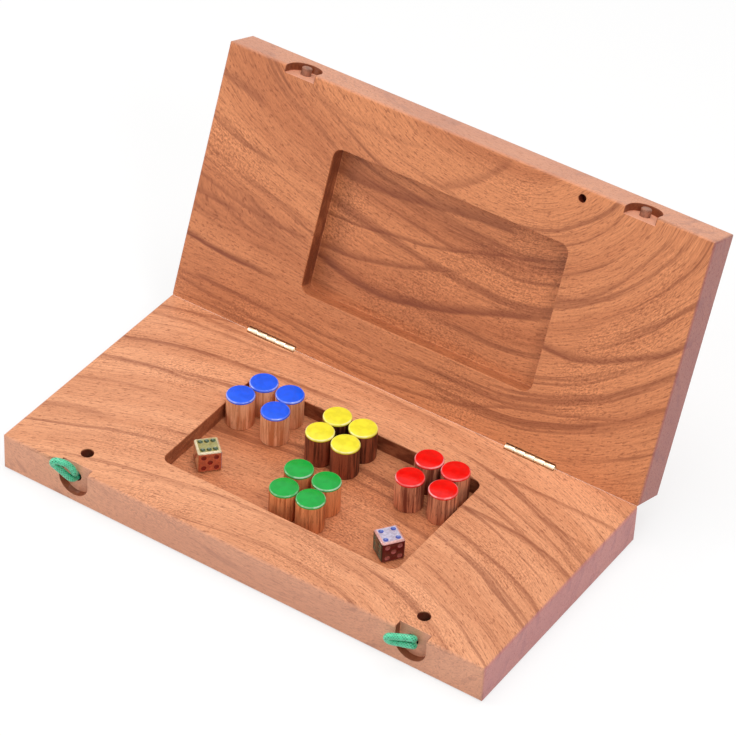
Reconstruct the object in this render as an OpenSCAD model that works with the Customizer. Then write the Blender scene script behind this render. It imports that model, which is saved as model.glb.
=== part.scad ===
// Folding ludo board box: two routed hardwood halves on a pair of brass butt hinges,
// held shut by two elastic loops over wooden pegs, with sixteen pawns and two dice.
// The origin is the middle of the base half's underside. X runs along the hinges,
// -Y is the front edge and +Z is up. The lid is drawn at the angle that it stands open at.

/* [Board halves] */
// Length of each half, along the hinges
board_w = 250; // [230:1:290]
// Depth of each half, from the hinge edge to the front edge
half_d = 125; // [115:1:145]
// Thickness of each half
slab_t = 19; // [17:0.5:24]
// Radius along the edges of each half
edge_r = 1.4; // [0.6:0.1:2.4]
// Radius along the edges where the halves meet at the hinges
hinge_edge_r = 0.2; // [0.1:0.1:0.6]
// Gap between the two halves, when closed and when laid flat
joint_gap = 0.2; // [0.2:0.1:1]
// Angle that the lid stands open at, counted from closed
lid_angle = 110; // [0:5:180]

/* [Pockets] */
// Length of the routed pocket in each half
pocket_w = 122; // [120:1:146]
// Width of the routed pocket in each half
pocket_d = 70.5; // [69:0.5:84]
// Depth of the routed pocket in each half
pocket_depth = 8.5; // [7.5:0.1:10]
// Radius of the pocket's corners
pocket_r = 4.5; // [3:0.5:10]

/* [Hinges] */
// Distance of each hinge's middle from the end of the board
hinge_inset = 55.9; // [33:0.1:80]
// Length of each hinge
hinge_len = 25.5; // [22:0.5:34]
// Number of knuckles on each hinge
knuckle_count = 5; // [3:2:7]
// Outer diameter of the knuckles
knuckle_d = 2.8; // [2.6:0.1:3.6]
// Diameter of the hinge pin
pin_d = 1.3; // [0.9:0.1:1.5]
// Thickness of the hinge leaves
leaf_t = 0.8; // [0.6:0.1:1]
// Reach of a leaf from the pin's axis
leaf_h = 11; // [10:0.5:14]
// Length of the hinge screws
screw_len = 8; // [6:0.5:10]
// Diameter of a hinge screw's shank
screw_d = 1.7; // [1.3:0.1:2]
// Diameter of a hinge screw's head
screw_head_d = 3.2; // [2.6:0.1:3.6]

/* [Closure] */
// Distance of each slot's middle from the end of the board
closure_inset = 37.4; // [22:0.1:41]
// Width of the slots in the front edges
slot_w = 15.4; // [14:0.1:18]
// Depth of the slots in the front edges
slot_depth = 3.8; // [3:0.1:5]
// Height of the base half's slot, from its rounded end to the joint
base_slot_h = 14.9; // [13.5:0.1:15.5]
// Height of the lid half's slot, from its rounded end to the joint
lid_slot_h = 11.8; // [10.5:0.1:14]
// Diameter of the pegs in the lid half's slots
peg_d = 4.8; // [3.4:0.1:5.4]
// Height of a peg's axis above the joint
peg_rise = 6.9; // [5.5:0.1:8]
// Depth that a peg is glued into the wood
peg_socket = 6; // [4:0.5:10]
// Diameter of the hole that holds each loop's knot
knot_hole_d = 6; // [6:0.1:8]
// Distance of the knot hole from the front edge
knot_hole_inset = 12; // [10:0.1:14]
// Depth of the knot hole
knot_hole_depth = 11; // [9:0.5:13]
// Diameter of the hole from the slot to the knot
cord_hole_d = 5.8; // [5.7:0.1:6]
// Height of that hole above the underside
cord_hole_z = 12; // [11.5:0.1:12.5]
// Diameter of the elastic cord
cord_d = 2.7; // [2:0.1:2.8]

/* [Pawns] */
// Diameter of the pawns
pawn_d = 13.2; // [11:0.1:15]
// Spare height over a standing pawn when the box is closed
pawn_headroom = 1.3; // [0.4:0.1:4]
// Radius round the painted top of a pawn
pawn_edge_r = 0.6; // [0.4:0.1:2]
// Crown of a pawn's painted top
pawn_crown = 0.3; // [0.2:0.1:1]

/* [Dice] */
// Length of a die's edge
die_edge = 10.9; // [10:0.1:13]
// Radius along the edges of a die
die_r = 1.1; // [0.6:0.1:2]
// Diameter of a pip
pip_d = 2.2; // [1.4:0.1:2.4]
// Depth of a pip
pip_depth = 0.3; // [0.1:0.1:0.6]

/* [Hidden] */
$fn = 64;

// Running and seating clearances
pin_clearance = 0.05;
knuckle_clearance = 0.2;
groove_clearance = 0.5;
mortise_clearance = 0.15;
screw_clearance = 0.05;
peg_clearance = 0.05;
knot_clearance = 0.2;

// How far off the middle the pockets, slots, pegs and hinges lie, as routed by hand
base_pocket_at = [1.4, 0.5];
lid_pocket_at = [0.5, 0.1];
slot_shift = 1.3;
peg_shift = 0.5;
hinge_shift = 0.7;

// Hinge axis, and the lid half's inner face while it is closed
axis_y = half_d / 2 + joint_gap / 2;
axis_z = slab_t + joint_gap / 2;
lid_z = slab_t + joint_gap;
front_y = -half_d / 2;
pocket_floor_z = slab_t - pocket_depth;
closure_x = board_w / 2 - closure_inset;

// Hinge details
hinge_x = board_w / 2 - hinge_inset;
knuckle_pitch = hinge_len / knuckle_count;
leaf_edge_z = knuckle_d / 2 + knuckle_clearance;
screw_x = hinge_len * 0.3;
screw_z = (leaf_h + leaf_edge_z) / 2;
screw_head_h = leaf_t * 0.85;
screw_slot = [screw_head_d * 1.2, 0.4, 0.3];
pilot_spare = 0.4;

// Peg ends, pawn feet and the small hole drilled in the lid half's inner face
peg_recess = 0.2;
peg_chamfer = 0.4;
foot_chamfer = 0.4;
small_hole_d = 3.9;
small_hole_depth = 5;
small_hole_x = board_w / 2 - 64;
small_hole_inset = 4.9;

// A standing pawn fills the closed pockets, apart from its headroom
pawn_h = 2 * pocket_depth + joint_gap - pawn_headroom;

// Pawns stand in fours. Each cluster has its middle, then its four places in pawn diameters.
back_spare = 0.55;
front_spare = 3;
left_spare = 0.5;
right_spare = 1.3;
pocket_left = base_pocket_at[0] - pocket_w / 2;
pocket_right = base_pocket_at[0] + pocket_w / 2;
pocket_front = base_pocket_at[1] - pocket_d / 2;
pocket_back = base_pocket_at[1] + pocket_d / 2;
back_row_y = pocket_back - back_spare - 1.005 * pawn_d;
pawn_colours = ["blue", "yellow", "green", "red"];
blue_places = [[-0.75, -0.5], [-0.49, 0.49], [0.57, 0.505], [0.67, -0.505]];
yellow_places = [[-0.5, 0.505], [-0.52, -0.505], [0.53, 0.505], [0.51, -0.52]];
green_places = [[-0.58, 0.52], [-0.44, -0.54], [0.5, 0.54], [0.57, -0.48]];
red_places = [[-0.54, 0.49], [-0.56, -0.65], [0.48, 0.505], [0.65, -0.52]];
pawn_places = [blue_places, yellow_places, green_places, red_places];
cluster_middles = [
    [pocket_left + left_spare + 1.25 * pawn_d, back_row_y],
    [-3, back_row_y],
    [4.5, pocket_front + front_spare + 1.07 * pawn_d],
    [pocket_right - right_spare - 1.15 * pawn_d, back_row_y]
];

// Each die: its place, its turn, and its faces in the order +Z -Z +X -X +Y -Y
left_die_at = [pocket_left + 1.16 * die_edge, pocket_front + 1.61 * die_edge];
right_die_at = [pocket_right - 1.21 * die_edge, pocket_front + 1.48 * die_edge];
left_die_turn = -43;
right_die_turn = -35;
left_die_faces = [6, 1, 5, 2, 4, 3];
right_die_faces = [4, 3, 5, 2, 1, 6];
pip_step = die_edge * 0.26;

// Routes of the two elastic loops, from knot to knot: X from the middle of the knot hole,
// Y from the front edge and Z from the underside
left_loop_route = [
    [0, 10.8, 13.4], [0, 8, 13.4], [0, 5.2, 13.4], [0.1, 3.8, 13.5], [0.6, 2.3, 14.3],
    [1, 1, 16.2], [0.6, 0.2, 18.5], [-0.6, -1, 20.8], [-2.4, -2.5, 22.4], [-4.1, -3.7, 23.1],
    [-5.5, -4.3, 22.8], [-6.35, -4.4, 21.8], [-6.35, -3.9, 20.4], [-5.5, -3, 18.8], [-3.7, -2.1, 17],
    [-1.8, -1.1, 14.8], [-0.5, 0.3, 12.6], [-0.1, 2.1, 11.1], [0, 3.8, 10.6], [0, 5.6, 10.6],
    [0, 8, 10.6], [0, 10.8, 10.6]
];
right_loop_route = [
    [0, 10.8, 13.4], [0, 8, 13.4], [0, 5.2, 13.4], [0.2, 3.7, 13.5], [1.2, 2.3, 14.4],
    [2.4, 0.9, 15.8], [2.4, -0.6, 17.1], [0.8, -1.9, 17.8], [-2.2, -3.2, 17.5], [-5.1, -4.2, 17],
    [-6.6, -4.6, 16.5], [-7.4, -4.7, 15.6], [-7.4, -4.5, 14.6], [-6.6, -4.1, 13.7], [-5, -3.5, 13.4],
    [-2.4, -2.7, 13.7], [0.4, -2, 13.9], [2.1, -0.9, 13.5], [2.6, 0.5, 12.5], [1.8, 2.1, 11.3],
    [0.6, 3.8, 10.6], [0, 5.4, 10.6], [0, 8, 10.6], [0, 10.8, 10.6]
];
cord_sides = 8;
cord_steps = 2;
cord_reference = [1, -0.6, 0.9];

// Shared shapes

// A rectangle with round corners, about its middle
module rounded_rect(w, h, r) {
    square([w - 2 * r, h], center = true);
    square([w, h - 2 * r], center = true);
    for (x = [-1, 1]) for (y = [-1, 1])
        translate([x * (w / 2 - r), y * (h / 2 - r)]) circle(r);
}

// A block with all its edges rounded, standing on Z = 0, its upper back edge by back_r
module rounded_block(w, d, h, r, back_r) {
    translate([0, 0, h / 2]) intersection() {
        linear_extrude(h, center = true) rounded_rect(w, d, r);
        rotate([90, 0, 0]) linear_extrude(d, center = true) rounded_rect(w, h, r);
        rotate([90, 0, 90]) linear_extrude(w, center = true) {
            rounded_rect(d, h, r);
            if (back_r < r)
                translate([d / 2 - r, h / 2 - r]) rounded_rect(2 * r, 2 * r, back_r);
        }
    }
}

// A rod along X, about its middle
module rod_x(d, h) {
    rotate([0, 90, 0]) cylinder(d = d, h = h, center = true);
}

// Turns what is drawn closed about the hinge axis, to where the lid stands
module opened() {
    translate([0, axis_y, axis_z])
        rotate([-lid_angle, 0, 0])
        translate([0, -axis_y, -axis_z])
        children();
}

// Puts what is drawn about the hinge axis at the left (-1) or right (1) hinge
module at_hinge(side) {
    translate([side * hinge_x + hinge_shift, axis_y, axis_z]) children();
}

// Where the left (-1) or right (1) peg stands
function peg_x(side) = side * closure_x + peg_shift;

// Cuts in the two halves

module pocket_cut(at) {
    translate([at[0], at[1], 0]) linear_extrude(pocket_depth + 1) rounded_rect(pocket_w, pocket_d, pocket_r);
}

// A slot in the front edge that rises from the joint at Z = 0 to a round end
module slot_cut(h) {
    translate([0, front_y + slot_depth, 0]) rotate([90, 0, 0]) linear_extrude(slot_depth + 1) {
        translate([0, h - slot_w / 2]) circle(d = slot_w);
        translate([-slot_w / 2, -1]) square([slot_w, h - slot_w / 2 + 1]);
    }
}

// What one half gives up for a hinge: the barrel's groove, a leaf's mortise and pilot holes
module hinge_cut() {
    cut_len = hinge_len + 2 * mortise_clearance;
    cut_h = leaf_h + mortise_clearance;
    rod_x(knuckle_d + 2 * groove_clearance, cut_len);
    translate([-cut_len / 2, -joint_gap / 2 - leaf_t, -cut_h])
        cube([cut_len, leaf_t + joint_gap / 2 + 1, cut_h]);
    for (x = [-screw_x, screw_x])
        translate([x, -joint_gap / 2, -screw_z])
        rotate([90, 0, 0])
        cylinder(d = screw_d + 2 * screw_clearance, h = screw_len + pilot_spare);
}

module knot_cut() {
    translate([0, front_y + knot_hole_inset, slab_t - knot_hole_depth])
        cylinder(d = knot_hole_d, h = knot_hole_depth + 1);
    translate([0, front_y + knot_hole_inset, cord_hole_z])
        rotate([90, 0, 0])
        cylinder(d = cord_hole_d, h = knot_hole_inset - slot_depth + 1);
}

// The two halves

module base_half() {
    color("peru") difference() {
        rounded_block(board_w, half_d, slab_t, edge_r, hinge_edge_r);
        translate([0, 0, pocket_floor_z]) pocket_cut(base_pocket_at);
        for (side = [-1, 1]) {
            translate([side * closure_x + slot_shift, 0, slab_t])
                mirror([0, 0, 1]) slot_cut(base_slot_h);
            translate([side * closure_x, 0, 0]) knot_cut();
            at_hinge(side) hinge_cut();
        }
    }
}

module lid_half() {
    color("peru") opened() difference() {
        translate([0, 0, lid_z + slab_t]) mirror([0, 0, 1])
            rounded_block(board_w, half_d, slab_t, edge_r, hinge_edge_r);
        translate([0, 0, lid_z + pocket_depth]) mirror([0, 0, 1]) pocket_cut(lid_pocket_at);
        for (side = [-1, 1]) {
            translate([side * closure_x + slot_shift, 0, lid_z]) slot_cut(lid_slot_h);
            translate([peg_x(side), front_y + slot_depth - 1, lid_z + peg_rise])
                rotate([-90, 0, 0])
                cylinder(d = peg_d + 2 * peg_clearance, h = peg_socket + 1);
            at_hinge(side) mirror([0, 0, 1]) hinge_cut();
        }
        translate([small_hole_x, front_y + small_hole_inset, lid_z - 1])
            cylinder(d = small_hole_d, h = small_hole_depth + 1);
    }
}

// Hinges

// One leaf below the axis, with every second knuckle from the one named first
module hinge_leaf(first) {
    leaf_y = -joint_gap / 2 - leaf_t;
    knuckle_w = knuckle_pitch - knuckle_clearance;
    color("goldenrod") difference() {
        union() {
            translate([-hinge_len / 2, leaf_y, -leaf_h])
                cube([hinge_len, leaf_t, leaf_h - leaf_edge_z]);
            for (n = [first : 2 : knuckle_count - 1])
                translate([(n + 0.5) * knuckle_pitch - hinge_len / 2, 0, 0]) {
                    rod_x(knuckle_d, knuckle_w);
                    translate([-knuckle_w / 2, leaf_y, -leaf_edge_z - 0.1])
                        cube([knuckle_w, leaf_t, leaf_edge_z + 0.1]);
                }
        }
        rod_x(pin_d + 2 * pin_clearance, hinge_len + 1);
        for (x = [-screw_x, screw_x])
            translate([x, -joint_gap / 2, -screw_z]) rotate([-90, 0, 0]) {
                translate([0, 0, -leaf_t - 1])
                    cylinder(d = screw_d + 2 * screw_clearance, h = leaf_t + 2);
                translate([0, 0, -screw_head_h])
                    cylinder(d1 = screw_d + 2 * screw_clearance, h = screw_head_h,
                        d2 = screw_head_d + 2 * screw_clearance);
            }
    }
}

module hinge_pin() {
    color("darkgoldenrod") rod_x(pin_d, hinge_len);
}

// A slotted countersunk wood screw with the top of its head at Z = 0
module wood_screw() {
    tip_h = screw_d;
    difference() {
        union() {
            translate([0, 0, -screw_head_h])
                cylinder(d1 = screw_d, d2 = screw_head_d, h = screw_head_h);
            translate([0, 0, tip_h - screw_len])
                cylinder(d = screw_d, h = screw_len - tip_h - screw_head_h / 2);
            translate([0, 0, -screw_len]) cylinder(d1 = screw_d / 4, d2 = screw_d, h = tip_h);
        }
        cube([screw_slot[0], screw_slot[1], 2 * screw_slot[2]], center = true);
    }
}

// The two screws of one leaf below the axis
module leaf_screws() {
    for (x = [-screw_x, screw_x])
        translate([x, -joint_gap / 2, -screw_z])
        rotate([-90, 0, 0])
        rotate(x * 9)
        wood_screw();
}

module base_hinge_screws() {
    color("gold") for (side = [-1, 1]) at_hinge(side) leaf_screws();
}

module lid_hinge_screws() {
    color("gold") opened() for (side = [-1, 1]) at_hinge(side) mirror([0, 0, 1]) leaf_screws();
}

// Closure

module peg(side) {
    r = peg_d / 2;
    length = slot_depth - peg_recess + peg_socket - peg_clearance;
    color("sienna") opened()
        translate([peg_x(side), front_y + peg_recess, lid_z + peg_rise])
        rotate([-90, 0, 0])
        rotate_extrude()
        polygon([[0, 0], [r - peg_chamfer, 0], [r, peg_chamfer], [r, length], [0, length]]);
}

function unit(v) = v / norm(v);

// A point between p[1] and p[2] on a smooth curve through four points
function between(p, t) = 0.5 * (2 * p[1] + (p[2] - p[0]) * t
    + (2 * p[0] - 5 * p[1] + 4 * p[2] - p[3]) * t * t
    + (3 * p[1] - p[0] - 3 * p[2] + p[3]) * t * t * t);

function smooth_route(route, steps) = let (last = len(route) - 1) concat(
    [for (i = [0 : last - 1]) for (k = [0 : steps - 1])
        between([route[max(i - 1, 0)], route[i], route[i + 1], route[min(i + 2, last)]], k / steps)],
    [route[last]]);

function route_tangent(route, i) =
    unit(route[min(i + 1, len(route) - 1)] - route[max(i - 1, 0)]);

function route_ring(centre, tangent, r, sides) =
    let (across = unit(cross(cord_reference, tangent)), up = cross(tangent, across))
    [for (k = [0 : sides - 1])
        centre + r * (cos(360 * k / sides) * across + sin(360 * k / sides) * up)];

// A tube swept along a route
module tube(route, d, sides) {
    rings = len(route);
    points = [for (i = [0 : rings - 1])
        each route_ring(route[i], route_tangent(route, i), d / 2, sides)];
    walls = [for (i = [0 : rings - 2]) for (k = [0 : sides - 1])
        let (a = i * sides + k, b = i * sides + (k + 1) % sides)
        each [[a, a + sides, b], [b, a + sides, b + sides]]];
    start_cap = [for (k = [1 : sides - 2]) [0, k, k + 1]];
    last = (rings - 1) * sides;
    end_cap = [for (k = [1 : sides - 2]) [last, last + k + 1, last + k]];
    polyhedron(points, concat(walls, start_cap, end_cap));
}

module elastic_loop(side, route) {
    color("mediumseagreen")
        translate([side * closure_x, front_y, 0])
        tube(smooth_route(route, cord_steps), cord_d, cord_sides);
}

// The knot that holds a loop's two ends, drawn as one ball
module elastic_knot(side) {
    color("seagreen")
        translate([side * closure_x, front_y + knot_hole_inset, cord_hole_z])
        sphere(d = knot_hole_d - 2 * knot_clearance);
}

// Pawns and dice

// Half the outline of a pawn: a chamfered foot, straight sides, a round edge and a crown
function pawn_outline() =
    let (r = pawn_d / 2, flat_r = r - pawn_edge_r, shoulder = pawn_h - pawn_crown - pawn_edge_r)
    concat(
        [[0, 0], [r - foot_chamfer, 0], [r, foot_chamfer]],
        [for (a = [0 : 15 : 75]) [flat_r + pawn_edge_r * cos(a), shoulder + pawn_edge_r * sin(a)]],
        [for (k = [4 : -1 : 0]) [flat_r * k / 4, pawn_h - pawn_crown * pow(k / 4, 2)]]);

module pawn(colour, n) {
    index = search([colour], pawn_colours)[0];
    at = cluster_middles[index] + pawn_d * pawn_places[index][n - 1];
    color(colour)
        translate([at[0], at[1], pocket_floor_z])
        rotate_extrude()
        polygon(pawn_outline());
}

// Places of the pips on a face with n of them, in steps from its middle
function pip_places(n) = concat(
    n % 2 == 1 ? [[0, 0]] : [],
    n > 1 ? [[-1, -1], [1, 1]] : [],
    n > 3 ? [[-1, 1], [1, -1]] : [],
    n > 5 ? [[-1, 0], [1, 0]] : []);

module die(at, turn, faces) {
    face_turns = [[0, 0, 0], [180, 0, 0], [0, 90, 0], [0, -90, 0], [-90, 0, 0], [90, 0, 0]];
    color("ivory") translate([at[0], at[1], pocket_floor_z]) rotate(turn) difference() {
        rounded_block(die_edge, die_edge, die_edge, die_r, die_r);
        translate([0, 0, die_edge / 2])
            for (face = [0 : 5]) rotate(face_turns[face])
            for (place = pip_places(faces[face]))
            translate([place[0] * pip_step, place[1] * pip_step, die_edge / 2 - pip_depth])
            cylinder(d = pip_d, h = pip_depth + 1);
    }
}

base_half();
lid_half();
at_hinge(-1) hinge_leaf(0);  // left_hinge_base_leaf
at_hinge(1) hinge_leaf(0);  // right_hinge_base_leaf
opened() at_hinge(-1) mirror([0, 0, 1]) hinge_leaf(1);  // left_hinge_lid_leaf
opened() at_hinge(1) mirror([0, 0, 1]) hinge_leaf(1);  // right_hinge_lid_leaf
at_hinge(-1) hinge_pin();  // left_hinge_pin
at_hinge(1) hinge_pin();  // right_hinge_pin
base_hinge_screws();
lid_hinge_screws();
peg(-1);  // left_peg
peg(1);  // right_peg
elastic_loop(-1, left_loop_route);  // left_elastic_loop
elastic_loop(1, right_loop_route);  // right_elastic_loop
elastic_knot(-1);  // left_elastic_knot
elastic_knot(1);  // right_elastic_knot
for (colour = pawn_colours) for (n = [1 : 4])
    pawn(colour, n);
die(left_die_at, left_die_turn, left_die_faces);  // left_die
die(right_die_at, right_die_turn, right_die_faces);  // right_die
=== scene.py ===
"""Looks for a folding ludo board box: routed hardwood halves, brass hinges, pawns, dice and loops."""

import logging
import math
from collections.abc import Callable
from dataclasses import dataclass, field
from enum import Enum

import bpy
from mathutils import Euler, Matrix, Vector

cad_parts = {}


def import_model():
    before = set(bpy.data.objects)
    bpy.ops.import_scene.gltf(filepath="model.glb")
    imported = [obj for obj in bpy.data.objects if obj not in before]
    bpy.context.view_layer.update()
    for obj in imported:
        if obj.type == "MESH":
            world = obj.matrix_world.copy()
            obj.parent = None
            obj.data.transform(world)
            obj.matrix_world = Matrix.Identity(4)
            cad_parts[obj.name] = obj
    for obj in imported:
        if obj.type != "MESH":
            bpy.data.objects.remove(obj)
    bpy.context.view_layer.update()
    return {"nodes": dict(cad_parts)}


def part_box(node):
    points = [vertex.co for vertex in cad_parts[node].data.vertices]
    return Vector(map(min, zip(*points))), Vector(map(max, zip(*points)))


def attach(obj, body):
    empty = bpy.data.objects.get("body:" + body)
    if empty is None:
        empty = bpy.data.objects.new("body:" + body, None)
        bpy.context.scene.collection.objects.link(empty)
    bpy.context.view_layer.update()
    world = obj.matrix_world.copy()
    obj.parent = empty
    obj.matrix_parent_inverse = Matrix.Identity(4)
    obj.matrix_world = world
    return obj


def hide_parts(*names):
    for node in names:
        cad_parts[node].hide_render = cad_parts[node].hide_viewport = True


log = logging.getLogger("ludo_box")

MM = 0.001
HINGE_AXIS = Vector((0.0, 62.6, 19.1)) * MM
LID_ANGLE = math.radians(110)
SLAB = Vector((250.0, 125.0, 19.0)) * MM
POCKET = Vector((122.0, 70.5, 8.5)) * MM
JOINT_GAP = 0.2 * MM
POCKET_FLOOR = SLAB.z - POCKET.z
CLOSURE_X = 87.6 * MM
SLOT_SHIFT = 1.3 * MM
SLOT_WIDTH = 15.4 * MM
CORD_HOLE_BELOW = 7.0
MESH_TOLERANCE = 0.02 * MM

Colour = tuple[float, float, float]
Point = tuple[float, float, float]
Socket = bpy.types.NodeSocket
Piece = bpy.types.Object

WHITE: Colour = (1.0, 1.0, 1.0)
BLUE_PAINT: Colour = (0.01, 0.05, 0.42)
GREEN_PAINT: Colour = (0.02, 0.28, 0.08)
YELLOW_PAINT: Colour = (0.80, 0.55, 0.02)
RED_PAINT: Colour = (0.55, 0.02, 0.015)


@dataclass(frozen=True)
class RoundHole:
    """A hole drilled into an inner face, in millimetres: its place, the radius of its shade and its depth."""

    x: float
    across: float
    radius: float
    depth: float


class Half(Enum):
    """The two halves of the box."""

    BASE = "base"
    LID = "lid"

    @property
    def pocket_middle(self) -> tuple[float, float]:
        """X and Y of the middle of this half's pocket, closed."""
        return (1.4 * MM, 0.5 * MM) if self is Half.BASE else (0.5 * MM, 0.1 * MM)

    @property
    def slot_turn(self) -> float:
        """The depth in millimetres at which the round ends of the slots begin."""
        return 7.2 if self is Half.BASE else 4.1

    @property
    def holes(self) -> tuple[RoundHole, ...]:
        """The knot holes or the small hole in this half's inner face."""
        if self is Half.LID:
            return (RoundHole(61.0, 120.2, 2.2, 5.3),)
        return tuple(RoundHole(side.value * CLOSURE_X / MM, 113.1, 3.25, 11.3) for side in Side)

    @property
    def field_paints(self) -> tuple[Colour, Colour, Colour, Colour]:
        """Paints of the left and right yards, of the left home row and of the one towards the hinges."""
        if self is Half.BASE:
            return BLUE_PAINT, GREEN_PAINT, BLUE_PAINT, GREEN_PAINT
        return YELLOW_PAINT, RED_PAINT, BLUE_PAINT, YELLOW_PAINT


class Side(Enum):
    """The two ends of the box, as signs along X."""

    LEFT = -1
    RIGHT = 1

    @property
    def word(self) -> str:
        """The side's name in lower case."""
        return self.name.lower()


class PawnColour(Enum):
    """The four colours of the pawns."""

    BLUE = "blue"
    YELLOW = "yellow"
    GREEN = "green"
    RED = "red"


def dimmed(colour: Colour, share: float) -> Colour:
    """A colour at a share of its strength."""
    return tuple(share * part for part in colour)


def opening_turn() -> Matrix:
    """The turn that takes the closed lid to where it stands open."""
    to_axis = Matrix.Translation(HINGE_AXIS)
    return to_axis @ Matrix.Rotation(-LID_ANGLE, 4, "X") @ to_axis.inverted()


# Work on meshes


def clear_selection() -> None:
    """Leaves nothing selected and nothing in edit mode."""
    if bpy.context.object and bpy.context.object.mode != "OBJECT":
        bpy.ops.object.mode_set(mode="OBJECT")
    bpy.ops.object.select_all(action="DESELECT")


def take(piece: Piece) -> Piece:
    """Makes a piece the only one that is selected, and active."""
    clear_selection()
    piece.select_set(True)
    bpy.context.view_layer.objects.active = piece
    return piece


def edit(piece: Piece, mode: str = "FACE") -> None:
    """Enters edit mode on a piece with nothing selected."""
    take(piece)
    bpy.ops.object.mode_set(mode="EDIT")
    bpy.ops.mesh.select_mode(type=mode)
    bpy.ops.mesh.select_all(action="DESELECT")


def leave_edit() -> None:
    """Goes back to object mode."""
    bpy.ops.object.mode_set(mode="OBJECT")


def clear_marks(mesh: bpy.types.Mesh) -> None:
    """Marks every vertex, edge and face as not selected."""
    for parts in (mesh.vertices, mesh.edges, mesh.polygons):
        parts.foreach_set("select", [False] * len(parts))


def select_faces(piece: Piece, wanted: Callable[[bpy.types.MeshPolygon], bool]) -> int:
    """Selects the faces that pass a test, and returns to edit mode.

    Args:
        piece: The piece, in edit mode.
        wanted: Says of a face whether it is selected.

    Returns:
        The number of faces selected.
    """
    leave_edit()
    clear_marks(piece.data)
    count = 0
    for face in piece.data.polygons:
        face.select = wanted(face)
        count += face.select
    bpy.ops.object.mode_set(mode="EDIT")
    return count


def select_edges(piece: Piece, wanted: Callable[[Vector, Vector], bool]) -> int:
    """Selects the edges that pass a test of their two ends, and returns to edit mode.

    Args:
        piece: The piece, in edit mode with edges as the choice.
        wanted: Says of an edge's two ends whether it is selected.

    Returns:
        The number of edges selected.
    """
    leave_edit()
    mesh = piece.data
    clear_marks(mesh)
    count = 0
    for edge in mesh.edges:
        first, second = (mesh.vertices[i].co for i in edge.vertices)
        edge.select = wanted(first, second)
        count += edge.select
    bpy.ops.object.mode_set(mode="EDIT")
    return count


def apply_modifier(piece: Piece, kind: str, **settings: object) -> None:
    """Adds a modifier to a piece and applies it.

    Args:
        piece: The piece.
        kind: The modifier's type.
        **settings: Its settings.
    """
    take(piece)
    modifier = piece.modifiers.new(kind.lower(), kind)
    for name, value in settings.items():
        setattr(modifier, name, value)
    bpy.ops.object.modifier_apply(modifier=modifier.name)


def smooth(piece: Piece, angle: float = 35) -> None:
    """Shades a piece smooth where its faces meet at less than an angle in degrees."""
    take(piece)
    bpy.ops.object.shade_smooth_by_angle(angle=math.radians(angle))


def settle(piece: Piece) -> None:
    """Puts a piece's place into its mesh."""
    take(piece)
    bpy.ops.object.transform_apply(location=True, rotation=True, scale=True)


def copy_of(piece: Piece, name: str) -> Piece:
    """A copy of a piece with its own mesh, and with no parent or marks.

    Args:
        piece: The piece or CAD node.
        name: The copy's name.

    Returns:
        The copy.
    """
    mesh = piece.data.copy()
    mesh.name = name
    copy = bpy.data.objects.new(name, mesh)
    bpy.context.scene.collection.objects.link(copy)
    return copy


def merged_copy(node: Piece, name: str, flat: float = 0.4) -> Piece:
    """A copy of a CAD node with its loose triangles joined into faces.

    Args:
        node: The CAD node.
        name: The copy's name.
        flat: Triangles that meet at less than this angle in degrees become one face.

    Returns:
        The copy.
    """
    copy = copy_of(node, name)
    edit(copy)
    bpy.ops.mesh.select_all(action="SELECT")
    bpy.ops.mesh.remove_doubles(threshold=2e-6)
    bpy.ops.mesh.dissolve_limited(angle_limit=math.radians(flat))
    leave_edit()
    return copy


def dress(piece: Piece, materials: list[bpy.types.Material]) -> None:
    """Gives a piece its materials in place of any it had."""
    piece.data.materials.clear()
    for material in materials:
        piece.data.materials.append(material)


def seat(piece: Piece, body: str, slot: str, *nodes: str) -> None:
    """Ties a finished piece to its body, and hides the CAD nodes it stands for.

    Args:
        piece: The finished piece.
        body: The body it moves with.
        slot: Not used.
        *nodes: The CAD nodes that it replaces.
    """
    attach(piece, body)
    if nodes:
        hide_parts(*nodes)
    log.info("%s rides on %s, faces: %d", piece.name, body, len(piece.data.polygons))


# Work on materials


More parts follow.
